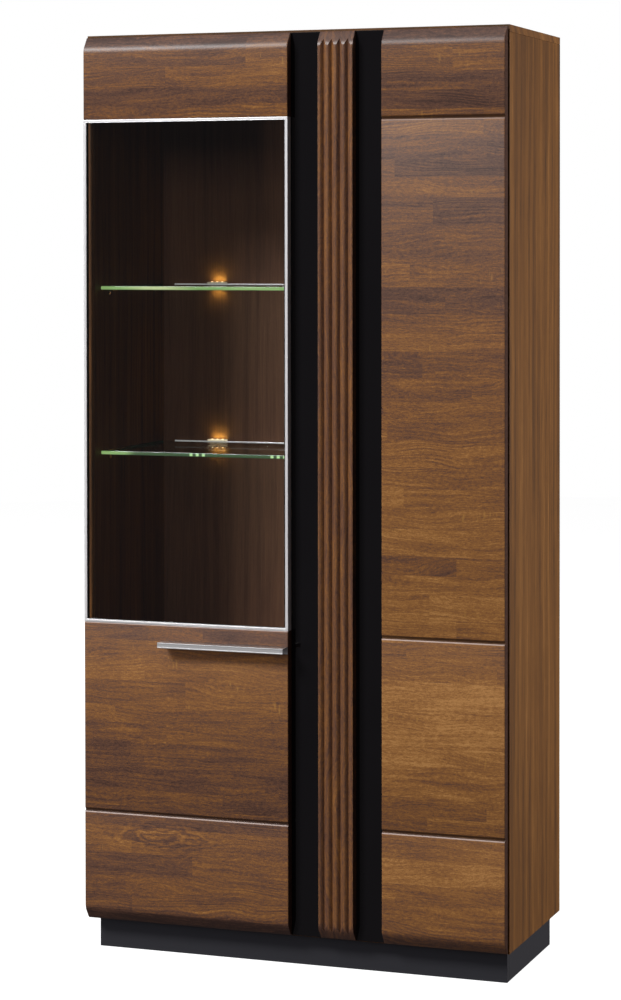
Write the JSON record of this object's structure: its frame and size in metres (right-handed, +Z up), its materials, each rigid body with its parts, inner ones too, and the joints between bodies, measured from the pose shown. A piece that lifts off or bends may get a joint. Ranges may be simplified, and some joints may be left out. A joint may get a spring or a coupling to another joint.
{
  "type": "china cabinet",
  "caption": "Tall freestanding china cabinet: glazed and wooden doors beside a fluted column, glass shelves with small lights, recessed plinth.",
  "frame": {"origin": "on the floor, under the middle of the whole object's box, handle included", "axes": "+Z up; -Y is the front with the doors; +X is to the right seen from the front"},
  "size_m": [0.956, 0.467, 2],
  "materials": {
    "front_wood": "dark stained oak veneer with horizontal grain, silk lacquer",
    "panel_wood": "dark stained oak decor with vertical grain, matt",
    "black_gloss": "black high gloss",
    "plinth_black": "black matt laminate",
    "satin_aluminium": "satin anodised, brushed along its length",
    "clear_glass": "clear float glass",
    "shelf_glass": "clear toughened glass with green polished edges",
    "light_housing": "pale clip with warm white light points",
    "driver_plastic": "white matt housing",
    "nickelled_steel": "nickelled pressed steel",
    "grey_plastic": "grey moulded plastic"
  },
  "bodies": {
    "root": {"back_panel": "panel_wood", "black_centre_panel": "black_gloss", "bottom_board": "panel_wood", "bracket_lower_left_front": "nickelled_steel", "bracket_lower_left_rear": "nickelled_steel", "bracket_lower_right_front": "nickelled_steel", "bracket_lower_right_rear": "nickelled_steel", "bracket_upper_left_front": "nickelled_steel", "bracket_upper_left_rear": "nickelled_steel", "bracket_upper_right_front": "nickelled_steel", "bracket_upper_right_rear": "nickelled_steel", "divider_left": "panel_wood", "divider_right": "panel_wood", "fixed_shelf_left": "panel_wood", "fixed_shelf_right_3": "panel_wood", "fluted_column": "front_wood", "glass_shelf_lower": "shelf_glass", "glass_shelf_upper": "shelf_glass", "hinge_arm_left_1": "nickelled_steel", "hinge_arm_left_2": "nickelled_steel", "hinge_arm_left_3": "nickelled_steel", "hinge_arm_right_1": "nickelled_steel", "hinge_arm_right_2": "nickelled_steel", "hinge_arm_right_3": "nickelled_steel", "latch_housing": "grey_plastic", "light_clip_lower": "light_housing", "light_clip_upper": "light_housing", "light_driver": "driver_plastic", "loose_shelf_left": "panel_wood", "loose_shelf_right_1": "panel_wood", "loose_shelf_right_2": "panel_wood", "loose_shelf_right_4": "panel_wood", "loose_shelf_right_5": "panel_wood", "plinth_back": "plinth_black", "plinth_front": "plinth_black", "plinth_left": "plinth_black", "plinth_right": "plinth_black", "shelf_back_rail_lower": "satin_aluminium", "shelf_back_rail_upper": "satin_aluminium", "side_panel_left": "panel_wood", "side_panel_right": "panel_wood", "top_board": "panel_wood"},
    "left_door": {"door_handle": "satin_aluminium", "frame_rail_bottom": "satin_aluminium", "frame_rail_top": "satin_aluminium", "frame_stile_left": "satin_aluminium", "frame_stile_right": "satin_aluminium", "glass_pane": "clear_glass", "hinge_cup_left_1": "nickelled_steel", "hinge_cup_left_2": "nickelled_steel", "hinge_cup_left_3": "nickelled_steel", "left_door_bottom_panel": "front_wood", "left_door_top_panel": "front_wood"},
    "right_door": {"hinge_cup_right_1": "nickelled_steel", "hinge_cup_right_2": "nickelled_steel", "hinge_cup_right_3": "nickelled_steel", "latch_strike_plate": "nickelled_steel", "right_door_panel": "front_wood"},
    "latch_plunger": {"latch_plunger": "grey_plastic"}
  },
  "joints": [
    {"name": "left_door_hinge", "type": "hinge", "parent": "root", "child": "left_door", "pos_m": [-0.47, -0.1895, 1], "axis": [0, 0, -1], "range_deg": [0, 105]},
    {"name": "right_door_hinge", "type": "hinge", "parent": "root", "child": "right_door", "pos_m": [0.47, -0.1895, 1], "axis": [0, 0, 1], "range_deg": [0, 105]},
    {"name": "latch_press", "type": "slide", "parent": "root", "child": "latch_plunger", "axis": [0, 1, 0], "range_m": [0, 0.003], "stiffness_N_per_m": 600}
  ]
}
